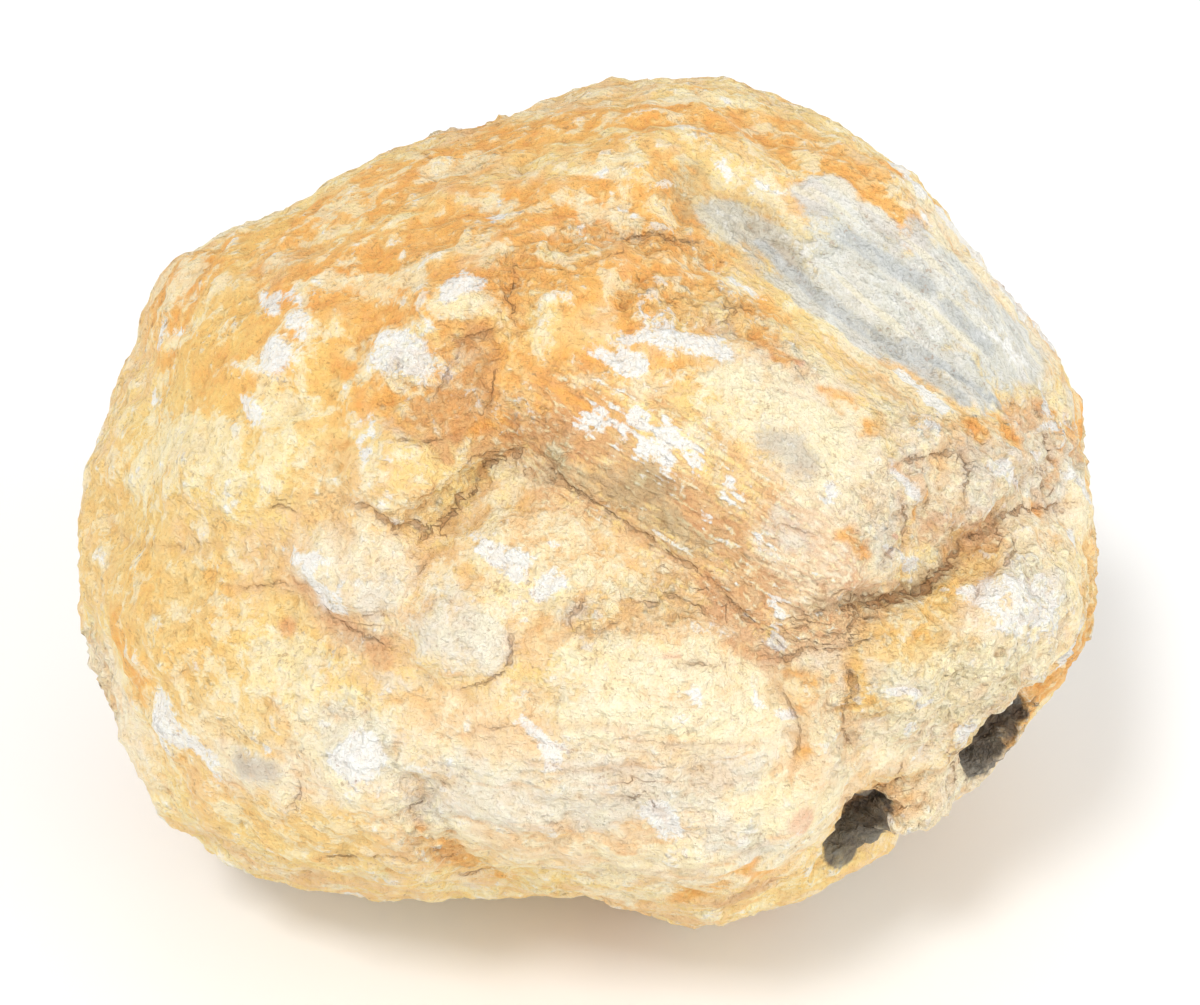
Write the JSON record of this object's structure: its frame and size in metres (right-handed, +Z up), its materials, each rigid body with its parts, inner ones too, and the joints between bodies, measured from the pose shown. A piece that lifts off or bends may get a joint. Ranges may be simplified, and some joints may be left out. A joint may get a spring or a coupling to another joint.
{
  "type": "quartz geode",
  "caption": "Whole, unopened geode: a lumpy, folded nodule of iron-stained chalcedony crust that stands on a small flat spot.",
  "frame": {"origin": "on the floor, under the middle of the bounding box", "axes": "+Z up; +X to the right and +Y to the back, seen from the side that shows the folded ridge"},
  "size_m": [0.1964, 0.1792, 0.1509],
  "materials": {
    "geode_crust": "dry, matte weathered crust: cream and ochre iron stain, chalk-white patches and a blue-grey chalcedony band"
  },
  "bodies": {
    "root": {"geode": "geode_crust"}
  },
  "joints": []
}
